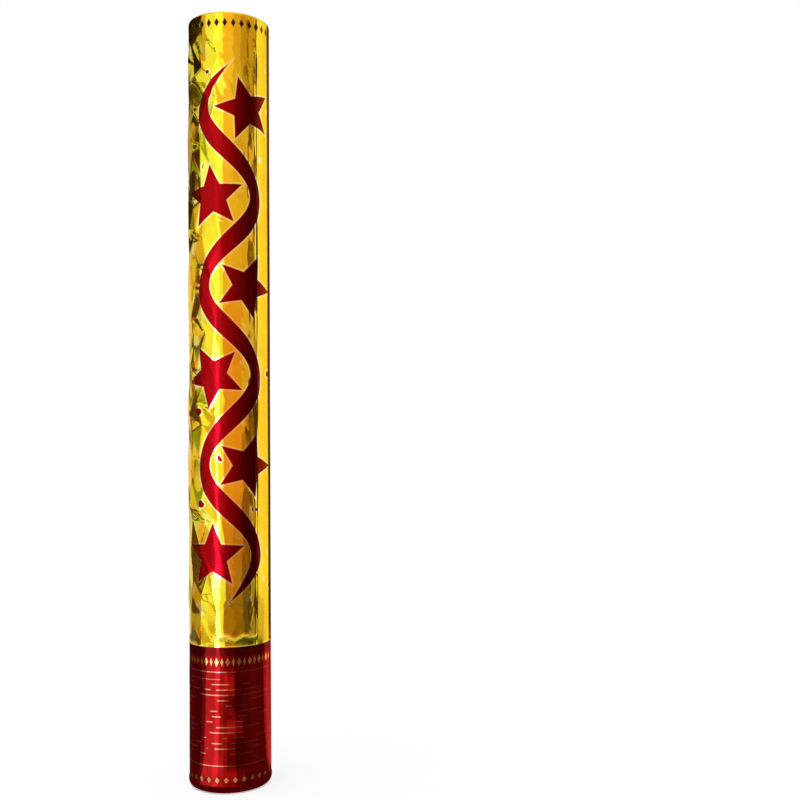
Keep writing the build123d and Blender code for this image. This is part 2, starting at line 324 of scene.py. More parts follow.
def gold_finish(name, printed):
    """Crinkled metallised film: gold with a little lemon and amber in it, and the print."""
    p = paint(name)
    spot = p.spot()
    x, y, z = p.parts(spot)
    around = round_the_tube(x, y)
    drift = p.cloud(spot, 0.05, detail=3.0, rough=0.6)
    colour = p.ramp(drift, (0.3, amber_tone), (0.5, gold_tone), (0.72, lemon_tone))

    # Tinted shards, strong at the left and behind, faint on the front and paler under the rim
    shard_wide = 5.0
    shard_tall = 8.0
    front_middle = 15.0
    front_half = 29.0
    shard = p.chance(p.at(around / shard_wide, z / shard_tall))
    front = abs(around - front_middle).within(front_half, 6.0)
    below_rim = z.within(358.0, 22.0) * 0.65 + 0.35
    colour = p.mix((0.75 - front * 0.68) * below_rim, colour, p.ramp(shard, *shard_tints))

    rub = p.cloud(spot, 0.9, detail=3.0, rough=0.65)
    rough = rub * 0.08 + 0.05
    gloss = 0.2
    metal = 1.0
    if printed:
        ink, painted_ink_highlight, outline = ribbon_and_stars(p, around, z)
        inward = foil_outer / mm - (x * x + y * y).math("SQRT")
        rim_row = diamonds(around, z, count=31, height=394.2, half_wide=1.25, half_tall=2.3, soft=0.12)
        mark = rim_row * inward.within(1.0, 0.4)
        colour = p.mix(outline * 0.8, colour, pale_line)
        # The ink's colour runs from painted shade to painted highlight across each panel
        colour = p.mix(ink, colour, p.mix(painted_ink_highlight, ink_painted_shade, ink_painted_highlight))
        colour = p.mix(mark, colour, dark_ink)
        rough = rough + ink * 0.16 + mark * 0.2
        gloss = 0.2 - ink.math("MAXIMUM", mark) * 0.18

        # A greenish tint under the zigzag crease, a painted reflection, and a painted highlight along the
        # creases and the lip, pale and less metallic
        under_crease = z.within(78.6, 0.8) * abs(around - 9.0).within(6.5, 1.5)
        colour = p.mix(under_crease * 0.6, colour, lime_tone)
        worn = p.node("ShaderNodeAttribute", {"attribute_name": "worn"}, out="Fac")
        colour = p.mix(worn * 0.85, colour, glint_tone)
        metal = 1.0 - worn * 0.85
    return p.principled(
        Base_Color=colour,
        Metallic=metal,
        Roughness=rough,
        Normal=p.bump(p.cloud(spot, 0.3), 0.015),
        Specular_Tint=gold_edge,
        Coat_Weight=gloss,
        Coat_Roughness=0.05,
    )


def red_finish():
    """Red metallised film for the grip, with fine pale rules, small marks and a painted shade under the seam.
    """
    p = paint("red_film")
    spot = p.spot()
    x, y, z = p.parts(spot)
    around = round_the_tube(x, y)
    drift = p.cloud(spot, 0.07, detail=3.0, rough=0.6)
    colour = p.ramp(drift, (0.3, grip_deep), (0.55, grip_red), (0.75, grip_bright))

    # A row of marks under the seam, by turns narrow and wide, and another above the base
    bars = 46
    uneven = ((around / (girth / bars)).math("FLOOR") * 0.5).math("FRACT") * 2.0
    bar_half = uneven * 0.4 + 0.75
    bar = diamonds(around, z, count=bars, height=66.6, half_wide=bar_half, half_tall=2.1, soft=0.15)
    foot = diamonds(around, z, count=29, height=7.2, half_wide=1.2, half_tall=1.4, soft=0.15)

    # Broken rules between two rings, fainter to the right
    middle = 38.0
    rules_half = 20.0
    ring_half = 23.6
    pitch = 2.7
    line = (z / pitch).math("FLOOR")
    broken = p.cloud(p.at(around * 0.09, line * 5.7), 1.0, detail=1.0)
    left = around.within(-1.0, 3.0) * 0.75 + 0.25
    rule = off_middle(z, pitch).within(0.24, 0.12)
    dash = rule * broken.within(0.47, 0.015) * abs(z - middle).within(rules_half, 0.3) * left
    rings = abs(abs(z - middle) - ring_half).within(0.22, 0.12)

    # Painted shade along the top of the grip, under the seam with the gold film
    shadow_low = 69.5
    colour = p.mix((-z).within(-shadow_low, 0.5) * 0.55, colour, grip_shadow)
    colour = p.mix((dash * 0.85).math("MAXIMUM", rings * left * 0.8), colour, grip_line)
    colour = p.mix(bar.math("MAXIMUM", foot * 0.8), colour, grip_mark)
    rub = p.cloud(spot, 0.9, detail=3.0, rough=0.65)
    return p.principled(
        Base_Color=colour,
        Metallic=1.0,
        Roughness=rub * 0.08 + 0.06,
        Normal=p.bump(p.cloud(spot, 0.3), 0.03),
        Specular_Tint=red_edge,
        Coat_Weight=0.12,
        Coat_Roughness=0.05,
    )


def card_finish(name, tone):
    """Wound grey board: slanting ply joints, fibres and a dusty surface."""
    p = paint(name)
    spot = p.spot()
    x, y, z = p.parts(spot)
    ply_width = 38.0
    turn = x.math("ARCTAN2", y) / math.tau
    ply = ((turn * ply_width + z) / ply_width).math("FRACT")
    joint = abs(ply - 0.5).within(0.012, 0.006)
    fibre = p.cloud(p.at(x * 3.0, y * 3.0, z * 0.6), 0.5, detail=4.0, rough=0.7)
    fleck = p.cloud(spot, 1.8, rough=0.6)
    dark = shade(tone, 0.72)
    colour = p.ramp(fibre, (0.3, dark), (0.5, tone), (0.7, shade(tone, 1.18)))
    colour = p.mix(fleck.within(0.36, 0.03) * 0.5, colour, shade(tone, 0.45))
    colour = p.mix(joint * 0.5, colour, dark)
    normal = p.bump(fibre * 0.5 + fleck * 0.3 - joint * 0.6, 0.08)
    return p.principled(Base_Color=colour, Roughness=fleck * 0.15 + 0.75, Normal=normal)


def plastic_finish(name, tone, rough, grain):
    """Moulded plastic with a fine spark-eroded grain and faint flow marks."""
    p = paint(name)
    spot = p.spot()
    x, y, z = p.parts(spot)
    flow = p.cloud(p.at(x, y, z * 0.25), 0.25, detail=3.0, rough=0.55, distortion=0.6)
    speck = p.cloud(spot, 4.0)
    colour = p.mix(flow, shade(tone, 0.85), shade(tone, 1.25, 0.01))
    return p.principled(Base_Color=colour, Roughness=flow * 0.12 + rough, Normal=p.bump(speck, grain))


def rubber_finish():
    """Black rubber with a dull grey bloom."""
    p = paint("black_rubber")
    spot = p.spot()
    bloom = p.cloud(spot, 0.8, detail=4.0, rough=0.65)
    speck = p.cloud(spot, 6.0)
    colour = p.mix(bloom, (0.012, 0.012, 0.013), (0.045, 0.044, 0.043))
    return p.principled(Base_Color=colour, Roughness=bloom * 0.2 + 0.6, Normal=p.bump(speck, 0.03))


def steel_finish():
    """Bright wire with fine lines along its draw."""
    p = paint("drawn_steel")
    x, y, z = p.parts(p.spot())
    drawn = p.cloud(p.at(x * 0.2, y * 6.0, z * 6.0), 1.5, detail=3.0, rough=0.6)
    colour = p.mix(drawn, (0.42, 0.42, 0.44), (0.68, 0.68, 0.69))
    normal = p.bump(drawn, 0.01)
    return p.principled(Base_Color=colour, Metallic=1.0, Roughness=drawn * 0.2 + 0.18, Normal=normal)


def felt_finish():
    """Pressed wool: tangled pale and dark fibres."""
    p = paint("pressed_felt")
    spot = p.spot()
    tangle = p.cloud(spot, 1.6, detail=5.0, rough=0.75, distortion=1.5)
    stray = p.cloud(spot, 0.7, detail=4.0, rough=0.7, distortion=3.0)
    hair = abs(stray - 0.5).within(0.02, 0.012)
    wool = [(0.3, (0.42, 0.40, 0.37)), (0.55, (0.62, 0.60, 0.56)), (0.75, (0.76, 0.74, 0.70))]
    colour = p.mix(hair * 0.5, p.ramp(tangle, *wool), (0.22, 0.21, 0.20))
    normal = p.bump(tangle + hair * 0.4, 0.35)
    return p.principled(Base_Color=colour, Roughness=0.95, Normal=normal, Sheen_Weight=0.4)


def paper_finish(name, tone, foil_share):
    """Dyed tissue, or with a share of foil a metallised slip."""
    p = paint(name)
    spot = p.spot()
    pulp = p.cloud(spot, 1.2, detail=4.0, rough=0.7)
    fade = p.cloud(spot, 0.06)
    colour = p.mix(fade, shade(tone, 0.7), shade(tone, 1.2, 0.02))
    colour = p.mix(pulp.within(0.4, 0.1) * 0.25, colour, shade(tone, 0.5))
    rough = pulp * 0.2 + (0.2 if foil_share else 0.62)
    return p.principled(Base_Color=colour, Metallic=foil_share, Roughness=rough, Normal=p.bump(pulp, 0.05))


gold_film = gold_finish("gold_film_printed", True)
plain_gold_film = gold_finish("gold_film_plain", False)
red_film = red_finish()
tube_card = card_finish("tube_card", (0.42, 0.30, 0.19))
white_card = card_finish("label_card", (0.72, 0.69, 0.62))
black_plastic = plastic_finish("black_plastic", (0.022, 0.022, 0.024), rough=0.42, grain=0.03)
bottle_plastic = plastic_finish("bottle_plastic", (0.62, 0.66, 0.68), rough=0.2, grain=0.008)
white_acetal = plastic_finish("white_acetal", (0.70, 0.68, 0.62), rough=0.35, grain=0.012)
red_acetal = plastic_finish("red_acetal", (0.48, 0.02, 0.016), rough=0.35, grain=0.012)
black_rubber = rubber_finish()
drawn_steel = steel_finish()
pressed_felt = felt_finish()
# The film's cut edge, made dark as a painted shade for the shadow line along the lap's edge
painted_edge_shade = plastic_finish("film_cut_edge", (0.05, 0.018, 0.004), rough=0.5, grain=0.01)
slip_tones = {
    "confetti_red": (0.52, 0.012, 0.016),
    "confetti_orange": (0.86, 0.25, 0.02),
    "confetti_gold": (0.90, 0.56, 0.05),
    "confetti_green": (0.01, 0.24, 0.05),
    "confetti_blue": (0.012, 0.06, 0.42),
    "confetti_magenta": (0.62, 0.04, 0.42),
    "confetti_turquoise": (0.03, 0.38, 0.46),
    "confetti_gold_discs": (0.93, 0.66, 0.16),
}
slip_paper = {}
for node, tone in slip_tones.items():
    slip_paper[node] = paper_finish(node + "_paper", tone, 0.85 if "gold" in node else 0.0)

node_finish = {
    "barrel_tube": tube_card,
    "grip_tube": tube_card,
    "wad_seat_ring": tube_card,
    "coupling_sleeve": tube_card,
    "pusher_disc": tube_card,
    "mouth_disc": tube_card,
    "base_label": white_card,
    "base_plug": black_plastic,
    "release_housing": black_plastic,
    "air_cylinder": bottle_plastic,
    "valve_body": white_acetal,
    "thrust_washer": white_acetal,
    "cam_sleeve": red_acetal,
    "stopper": red_acetal,
    "filler_plug": black_rubber,
    "mouth_gasket": black_rubber,
    "stopper_seal": black_rubber,
    "retaining_clip": drawn_steel,
    "cross_pin": drawn_steel,
}
for node, finish in node_finish.items():
    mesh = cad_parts[node].data
    mesh.materials.clear()
    mesh.materials.append(finish)


# Shapes


def mesh_of(name, bm, finish):
    """The modelled shape as a mesh with one finish."""
    mesh = bpy.data.meshes.new(name)
    bm.to_mesh(mesh)
    bm.free()
    mesh.materials.append(finish)
    return mesh


def put_in_scene(name, data):
    made = bpy.data.objects.new(name, data)
    bpy.context.scene.collection.objects.link(made)
    return made


def piece(name, bm, finish, body):
    """The finished shape as an object that rides on a body, its corners kept crisp."""
    bmesh.ops.recalc_face_normals(bm, faces=bm.faces)
    for edge in bm.edges:
        edge.smooth = edge.calc_face_angle(0.0) < math.radians(40)
    for face in bm.faces:
        face.smooth = True
    made = put_in_scene(name, mesh_of(name, bm, finish))
    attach(made, body)
    return made


def bearing(spot):
    """Angle round the tube from the front, rising to the right."""
    return math.atan2(spot.x, -spot.y)


def place_at(vert, angle, radius, height):
    vert.co = (radius * math.sin(angle), -radius * math.cos(angle), height)


def section_of(bm, corners, closed=True):
    """Wire section of (radius, height) corners at the front, ready to turn."""
    verts = [bm.verts.new((0, -radius, height)) for radius, height in corners]
    ends = verts[1:] + verts[:1] if closed else verts[1:]
    return [bm.edges.new(pair) for pair in zip(verts, ends)]


def disc_section(bm, low, high):
    """Section of a disc that fills a box: its top, side and underside, open at a small pole."""
    pole = 0.2 * mm
    corners = [(pole, high.z), (high.x, high.z), (high.x, low.z), (pole, low.z)]
    return section_of(bm, corners, closed=False)


def turn_section(bm, steps, angle=math.tau):
    bmesh.ops.spin(
        bm,
        geom=bm.verts[:] + bm.edges[:] + bm.faces[:],
        cent=(0, 0, 0),
        axis=(0, 0, 1),
        dvec=(0, 0, 0),
        angle=angle,
        steps=steps,
        use_merge=angle >= math.tau,
    )


def turn_disc(bm):
    """Turn a disc's section right round and close its poles."""
    turn_section(bm, 96)
    bmesh.ops.holes_fill(bm, edges=bm.edges, sides=0)


def round_edges(bm, radius, height, size, segments):
    """Round the ring of edges that runs right round at one radius and height."""

    def on_ring(vert):
        return abs(vert.co.z - height) < touch and abs(vert.co.xy.length - radius) < touch

    bmesh.ops.bevel(
        bm,
        geom=[edge for edge in bm.edges if all(map(on_ring, edge.verts))],
        offset=size,
        offset_type="OFFSET",
        affect="EDGES",
        segments=segments,
        profile=0.5,
        material=-1,
    )


def creased_cage(low, high, columns, row, reach, spread, seed):
    """Coarse tube of flat triangles, its corners pushed about, that the film's facets follow."""
    chance = random.Random(seed)
    rows = round((high - low) / row) + 2
    bm = bmesh.new()
    foot = bm.verts.new((0, -reach, low - row))
    head = bm.verts.new((0, -reach, high + row))
    bmesh.ops.subdivide_edges(bm, edges=[bm.edges.new((foot, head))], cuts=rows - 1)
    turn_section(bm, columns)
    for vert in bm.verts:
        stagger = 0.5 * (round((vert.co.z - low) / row) % 2)
        aside = stagger + chance.uniform(-0.3, 0.3)
        up = chance.uniform(-0.4, 0.4)
        out = chance.uniform(-0.4, 1.0)
        angle = bearing(vert.co) + aside * math.tau / columns
        place_at(vert, angle, reach + out * spread, vert.co.z + up * row)
    bmesh.ops.triangulate(bm, faces=bm.faces, quad_method="ALTERNATE")
    tree = BVHTree.FromBMesh(bm)
    bm.free()
    return tree


def cage_reach(tree, angle, height):
    """How far out the cage lies on a ray from the axis."""
    outward = Vector((math.sin(angle), -math.cos(angle), 0))
    return tree.ray_cast(Vector((0, 0, height)), outward)[3]


def smooth_step(low, high, value):
    """From 0 at low to 1 at high, which may be the smaller."""
    share = min(1.0, max(0.0, (value - low) / (high - low)))
    return share * share * (3 - 2 * share)


def ripple(angle, height, turns, length, seed):
    """Smooth wander from -1 to 1 round and up the tube, without a join at the back."""
    spot = Vector((math.sin(angle) * turns, math.cos(angle) * turns, height / length + seed))
    return noise.noise(spot)


def crease_share(angle, height):
    """How far the film follows its facets: fully at the left and behind, little on the front."""
    turn = math.degrees(angle)
    to_left = smooth_step(-16, -34, turn)
    to_right = smooth_step(12, 26, turn)
    top_left = smooth_step(-2, -12, turn) * smooth_step(300 * mm, 350 * mm, height)
    wander = ripple(angle, height, turns=2.0, length=38 * mm, seed=4.0)
    share = 0.3 + 0.7 * to_left + 0.6 * to_right + 0.35 * wander + 0.4 * top_left

    # Smooth under the lap and for a way beyond it
    lap_start = math.degrees(lap_angle)
    lap_end = math.degrees(lap_angle + lap_span)
    past_start = smooth_step(lap_start - 2, lap_start - 0.5, turn)
    past_end = smooth_step(lap_end + 34, lap_end + 60, turn)
    return max(0.08, min(1.0, share)) * (1 - past_start * (1 - past_end))


# Creases above the seam: corners in millimetres round and up the tube, and how much further off each counts,
# which makes it fainter
seam_creases = [
    ([(-9.0, 78.5), (-2.6, 79.6), (2.4, 77.5), (6.7, 79.6), (13.2, 78.5)], 0.0),
    ([(10.2, 101.0), (12.4, 92.0), (9.8, 80.0)], 0.55),
]


def off_crease(angle, height):
    """Distance along the film from the creases above the seam."""
    spot = Vector((angle * foil_outer, height)) / mm
    best = math.inf
    for corners, further in seam_creases:
        for start, end in zip(corners, corners[1:]):
            off_start = spot - Vector(start)
            run = Vector(end) - Vector(start)
            share = min(1.0, max(0.0, off_start.dot(run) / run.length_squared))
            best = min(best, (off_start - run * share).length + further)
    return best * mm


def barrel_wrap():
    """Gold film round the barrel, folded over the rim and hemmed inside the mouth."""
    hem_low = barrel_high - 5.2 * mm
    hem_outer = hem_inner + foil
    fold_high = barrel_high - foil
    bm = bmesh.new()
    edges = section_of(
        bm,
        [
            (foil_outer, lip_low),
            (foil_outer, barrel_high),
            (hem_inner, barrel_high),
            (hem_inner, hem_low),
            (hem_outer, hem_low),
            (hem_outer, fold_high),
            (foil_inner, fold_high),
            (foil_inner, lip_low),
        ],
    )
    bmesh.ops.subdivide_edges(bm, edges=[edges[0]], cuts=360)
    bmesh.ops.subdivide_edges(bm, edges=[edges[2]], cuts=5)
    turn_section(bm, 160)
    for radius in (foil_outer, hem_inner):
        round_edges(bm, radius, barrel_high, rim_round, 4)
    for radius in (foil_inner, hem_outer):
        round_edges(bm, radius, fold_high, rim_round - foil, 4)

    # Large facets all round, and finer ones in front of the lap
    ends = (barrel_low, barrel_high)
    large_reach = foil_outer + 0.34 * mm
    fine_reach = foil_outer + 0.08 * mm
    large = creased_cage(*ends, columns=15, row=12 * mm, reach=large_reach, spread=0.6 * mm, seed=5)
    fine = creased_cage(*ends, columns=44, row=10 * mm, reach=fine_reach, spread=0.22 * mm, seed=3)
    fine_from, fine_to = math.radians(12), math.radians(24)
    worn = bm.verts.layers.float.new("worn")
    for vert in bm.verts:
        radius = vert.co.xy.length
        angle = bearing(vert.co)
        height = vert.co.z
        above_lip = height - lip_low
        below_rim = barrel_high - height
        if below_rim <= rim_round + touch:
            continue
        if radius > foil_outer - touch:
            share = crease_share(angle, height) * smooth_step(8 * mm, 20 * mm, below_rim)
            by_lap = smooth_step(fine_from, fine_to, angle) * (angle < lap_angle)
            facet = cage_reach(large, angle, height) * (1 - by_lap)
            facet = max(facet + cage_reach(fine, angle, height) * by_lap, facet_least)
            sway = ripple(angle, height, turns=3.0, length=60 * mm, seed=9.0) * 0.06 * mm
            flick = smooth_step(1.6 * mm, 0, above_lip) * 0.12 * mm
            on_crease = smooth_step(1.1 * mm, 0, off_crease(angle, height))
            ridge = on_crease * 0.36 * mm
            gather = smooth_step(8 * mm, 3 * mm, below_rim) * 0.12 * mm
            pucker = abs(ripple(angle, height, turns=10.0, length=7 * mm, seed=1.0)) * gather
            # Painted highlight along the creases and just above the lip
            vert[worn] = max(on_crease, 0.7 * smooth_step(0.9 * mm, 0, above_lip))
            place_at(vert, angle, radius + share * (facet - radius) + sway + flick + ridge + pucker, height)
        elif radius < hem_inner + touch:
            pleat = abs(ripple(angle, height, turns=9.0, length=9 * mm, seed=2.0)) * 0.2 * mm
            place_at(vert, angle, radius - pleat, height)
    return piece("barrel_wrap", bm, gold_film, "barrel")


def lap_strip():
    """Free edge of the barrel's film, lying over its own start, with a wavy lip that lifts here and there."""
    inner = foil_outer + 0.03 * mm
    outer = inner + foil
    high = barrel_high - rim_round - 0.3 * mm
    bm = bmesh.new()
    edges = section_of(bm, [(outer, lip_low), (outer, high), (inner, high), (inner, lip_low)])
    bmesh.ops.subdivide_edges(bm, edges=[edges[0], edges[2]], cuts=round((high - lip_low) / (2 * mm)))
    bmesh.ops.contextual_create(bm, geom=bm.edges[:])
    turn_section(bm, 12, lap_span)
    for vert in bm.verts:
        turned = bearing(vert.co)
        share = turned / lap_span
        height = vert.co.z
        radius = vert.co.xy.length
        free = 1 - smooth_step(0, 0.3, share)
        wave = ripple(lap_angle, height, turns=1.0, length=16 * mm, seed=7.0)
        lift = smooth_step(-0.1, 0.4, wave) * 0.4 * mm * free * (radius > inner + touch)
        roll = ripple(share, height, turns=1.0, length=45 * mm, seed=3.0) * 0.05 * mm * (share > 0.01)
        sink = smooth_step(0.3, 1, share) * (0.9 * (radius - inner) + 0.155 * mm)
        angle = lap_angle + turned + free * wave * 0.5 * mm / foil_outer
        place_at(vert, angle, radius + lift + roll - sink, height)
    strip = piece("barrel_lap", bm, gold_film, "barrel")
    # The free edge's side faces take the dark edge finish, a painted shade for the shadow line beside the lap
    strip.data.materials.append(painted_edge_shade)
    aside = Vector((-math.cos(lap_angle), -math.sin(lap_angle), 0))
    for face in strip.data.polygons:
        if face.normal.dot(aside) > 0.6:
            face.material_index = 1
            face.use_smooth = False


def grip_wrap():
    """Red film round the grip, flared over the plug's flange and hemmed in under the base."""
    base_round = 3.2 * mm
    flare_inner = flare_outer - foil
    hem_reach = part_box("base_label")[1].x + 0.9 * mm
    bm = bmesh.new()
    edges = section_of(
        bm,
        [
            (foil_outer, flare_top + 1.4 * mm),
            (foil_outer, grip_high),
            (foil_inner, grip_high),
            (foil_inner, flare_top + 1.3 * mm),
            (flare_inner, flare_top),
            (flare_inner, foil),
            (hem_reach, foil),
            (hem_reach, 0),
            (flare_outer, 0),
            (flare_outer, flare_top),
        ],
    )
    bmesh.ops.subdivide_edges(bm, edges=[edges[0]], cuts=62)
    bmesh.ops.subdivide_edges(bm, edges=[edges[7]], cuts=6)
    turn_section(bm, 136)
    round_edges(bm, flare_outer, 0, base_round, 5)
    round_edges(bm, flare_inner, foil, base_round - foil, 5)

    # Nearly smooth, with a few soft creases, and small pleats in the hem under the base
    reach = foil_outer + 0.34 * mm
    cage = creased_cage(0, grip_high, columns=19, row=12 * mm, reach=reach, spread=0.22 * mm, seed=7)
    for vert in bm.verts:
        radius = vert.co.xy.length
        angle = bearing(vert.co)
        height = vert.co.z
        if radius > foil_outer - touch and height > flare_top + 1.5 * mm:
            share = 0.16 + 0.14 * ripple(angle, height, turns=1.6, length=22 * mm, seed=12.0)
            share *= smooth_step(flare_top, flare_top + 7 * mm, height)
            facet = max(cage_reach(cage, angle, height), facet_least)
            sway = ripple(angle, height, turns=3.0, length=40 * mm, seed=19.0) * 0.04 * mm
            place_at(vert, angle, radius + share * (facet - radius) + sway, height)
        elif height < touch and radius < flare_outer - base_round:
            pleat = abs(ripple(angle, radius, turns=11.0, length=6 * mm, seed=5.0))
            place_at(vert, angle, radius, pleat * smooth_step(18 * mm, 15 * mm, radius) * 0.1 * mm)
    return piece("grip_wrap", bm, red_film, "twist_base")


def mouth_cover():
    """Gold film face of the mouth's disc, puckered towards its rim."""
    low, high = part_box("mouth_foil")
    bm = bmesh.new()
    edges = disc_section(bm, low, high)
    bmesh.ops.subdivide_edges(bm, edges=[edges[0]], cuts=14)
    turn_disc(bm)
    for vert in bm.verts:
        radius = vert.co.xy.length
        if vert.co.z > high.z - touch and radius < high.x - 0.1 * mm:
            angle = bearing(vert.co)
            pucker = ripple(angle, radius, turns=7.0, length=14 * mm, seed=6.0)
            pucker *= smooth_step(2 * mm, 14 * mm, radius)
            swell = ripple(angle, radius, turns=1.5, length=7 * mm, seed=8.0) * smooth_step(0, 3 * mm, radius)
            vert.co.z += (abs(pucker) * 0.55 + swell * 0.12) * mm
    return piece("mouth_cover", bm, plain_gold_film, "closure")


def felt_pad():
    """Pressed felt wad with a soft uneven edge."""
    low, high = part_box("felt_wad")
    reach = high.x
    edge_round = 1.2 * mm
    bm = bmesh.new()
    edges = disc_section(bm, low, high)
    bmesh.ops.subdivide_edges(bm, edges=[edges[0], edges[2]], cuts=14)
    bmesh.ops.subdivide_edges(bm, edges=[edges[1]], cuts=4)
    turn_disc(bm)
    for height in (high.z, low.z):
        round_edges(bm, reach, height, edge_round, 4)
    middle = (low.z + high.z) / 2
    for vert in bm.verts:
        radius = vert.co.xy.length
        angle = bearing(vert.co)
        tuft = abs(noise.noise(vert.co / (1.7 * mm)) * 0.10 + noise.noise(vert.co / (5 * mm)) * 0.12)
        outer = smooth_step(reach - 2.5 * mm, reach, radius)
        inward = math.copysign(1, middle - vert.co.z)
        height = vert.co.z + inward * (1 - outer) * tuft * 0.8 * mm
        place_at(vert, angle, radius - outer * tuft * 1.2 * mm, height)
    return piece("felt_pad", bm, pressed_felt, "charge")


def separate_solids(node):
    """The corners of each loose solid in a CAD node's mesh, in the mesh's own order."""
    bm = bmesh.new()
    bm.from_mesh(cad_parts[node].data)
    bmesh.ops.remove_doubles(bm, verts=bm.verts, dist=0.001 * mm)
    done = set()
    solids = []
    for first in bm.verts:
        if first in done:
            continue
        done.add(first)
        reached = [first]
        for vert in reached:
            for edge in vert.link_edges:
                other = edge.other_vert(vert)
                if other not in done:
                    done.add(other)
                    reached.append(other)
        solids.append([vert.co.copy() for vert in reached])
    bm.free()
    return solids


def curled_slip(bm, place, long, wide, cuts, curl, twist):
    """One paper slip, bowed along its length and a little twisted, with its own thickness."""
    paper = 0.12 * mm
    flat = bmesh.ops.create_grid(bm, x_segments=cuts, y_segments=1 if cuts < 3 else 2, size=0.5)
    faces = list(dict.fromkeys(face for vert in flat["verts"] for face in vert.link_faces))
    for vert in flat["verts"]:
        along, aside = vert.co.x, vert.co.y
        lift = curl * (1 - 4 * along * along) + twist * along * aside * 4
        vert.co = place @ Vector((along * long, aside * wide, lift))
    bmesh.ops.solidify(bm, geom=faces, thickness=paper)


def square(step, other):
    """Whether two steps stand at a right angle."""
    return abs(step.normalized().dot(other.normalized())) < 0.01


def slip_place(corners):
    """Where a box-shaped slip lies: its centre and its axes, longest first, with its two sides' lengths."""
    centre = sum(corners, Vector()) / len(corners)
    first = corners[0]
    steps = sorted((corner - first for corner in corners[1:]), key=lambda step: step.length)
    thin, wide, long = steps[0], steps[1], None
    for step in steps[2:]:
        if square(step, thin) and square(step, wide):
            long = step
            break
        if square(step, thin) and not square(wide, thin):
            wide = step
    axes = Matrix((long.normalized(), wide.normalized(), long.cross(wide).normalized())).transposed()
    return Matrix.Translation(centre) @ axes.to_4x4(), long.length, wide.length


def confetti_slips(node):
    """The slips of one colour, curled, with small flecks of the same paper among them."""
    stack_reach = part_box("pusher_disc")[1].x - 0.4 * mm
    bm = bmesh.new()
    low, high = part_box(node)
    for corners in separate_solids(node):
        place, long, wide = slip_place(corners)
        place = place @ Matrix.Rotation(random.uniform(-0.12, 0.12), 4, "Z")
        curl = random.choice((-1, 1)) * random.uniform(0.5, 1.4) * mm
        twist = random.uniform(-0.5, 0.5) * mm
        curled_slip(bm, place, long, wide, 6, curl, twist)
    for fleck in range(64):
        angle = random.uniform(0, math.tau)
        size = random.uniform(3.5, 7.5) * mm
        radius = (stack_reach - 0.62 * size) * math.sqrt(random.random())
        height = random.uniform(low.z, high.z)
        spot = Vector((radius * math.sin(angle), radius * math.cos(angle), height))
        swing = Matrix.Rotation(random.uniform(0, math.tau), 4, "Z")
        turn = swing @ Matrix.Rotation(random.uniform(-1.2, 1.2), 4, "X")
        curl = random.uniform(-0.7, 0.7) * mm
        curled_slip(bm, Matrix.Translation(spot) @ turn, size, size * 0.7, 2, curl, 0)
    return piece(node + "_slips", bm, slip_paper[node], "charge")


def gold_discs():
    """Large round foil pieces, gently buckled."""
    node = "confetti_gold_discs"
    thickness = 0.15 * mm
    buckle = 1.5 * mm
    bm = bmesh.new()
    for corners in separate_solids(node):
        centre = sum(corners, Vector()) / len(corners)
        reach = max((corner - centre).xy.length for corner in corners)
        flat = bmesh.ops.create_circle(bm, cap_ends=True, segments=32, radius=reach)
        face = flat["verts"][0].link_faces[0]
        rings = [face]
        for step in range(3):
            rings += bmesh.ops.inset_region(bm, faces=[face], thickness=reach * 0.26)["faces"]
        apart = Vector((centre.z / mm, 0, 0))
        for vert in dict.fromkeys(vert for ring in rings for vert in ring.verts):
            wave = noise.noise(vert.co / (16 * mm) + apart)
            vert.co += centre + Vector((0, 0, wave * buckle))
        bmesh.ops.solidify(bm, geom=rings, thickness=thickness)
    return piece(node + "_foil", bm, slip_paper[node], "charge")


wrap = barrel_wrap()
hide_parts("barrel_foil")
lap_strip()
grip = grip_wrap()
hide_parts("grip_foil")
cover = mouth_cover()
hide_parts("mouth_foil")
pad = felt_pad()
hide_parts("felt_wad")
for node in slip_tones:
    slips = gold_discs() if node == "confetti_gold_discs" else confetti_slips(node)
    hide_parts(node)


# Stage


white = (1.0, 1.0, 1.0)
warm = (1.0, 0.76, 0.45)
amber = (1.0, 0.49, 0.28)
olive = (1.0, 0.6, 0.28)
brown = (1.0, 0.5, 0.25)
lime = (0.6, 1.0, 0.3)
lemon = (0.9, 1.15, 1.0)
cool = (0.8, 1.0, 2.1)


def screen_stops(tiers, length):
    """Colour stops along a screen from its tiers, each (where it begins, strength, tone)."""
    soft = 0.006
    stops = []
    for begins, strength, tone in tiers:
        light = tuple(strength * share for share in tone)
        if stops:
            stops.append(((begins - soft) / length, stops[-1][1]))
        stops.append(((begins + soft) / length, light))
    return stops


def arc_screen(name, start, end, *tiers):
    """Curved screen with its foot along the floor, in lit and dark tiers that only reflections show."""
    reach, foot, top = 0.6, 0.0202, 1.6
    above_floor = 0.0005
    turn = Matrix.Rotation(math.radians(start), 3, "Z")
    section = [(0, -foot, above_floor), (0, -reach, above_floor), (0, -reach, top)]
    bm = bmesh.new()
    ends = [bm.verts.new(turn @ Vector(spot)) for spot in section]
    bm.edges.new(ends[:2])
    bm.edges.new(ends[1:])
    turn_section(bm, 12, math.radians(end - start))
    p = paint(name + "_cloth")
    x, y, z = p.parts(p.spot())
    length = reach + top
    out = ((x * x + y * y).math("SQRT") + z) * (mm / length)
    by_foot = (0.0, 0.12, white)
    light = p.ramp(out, *screen_stops([by_foot, *tiers], length))
    cloth = p.surface(p.node("ShaderNodeEmission", {}, {"Color": light, "Strength": 1.0}))
    screen = put_in_scene(name, mesh_of(name, bm, cloth))
    screen.visible_camera = False
    screen.visible_diffuse = False
    screen.visible_transmission = False
    screen.visible_shadow = False


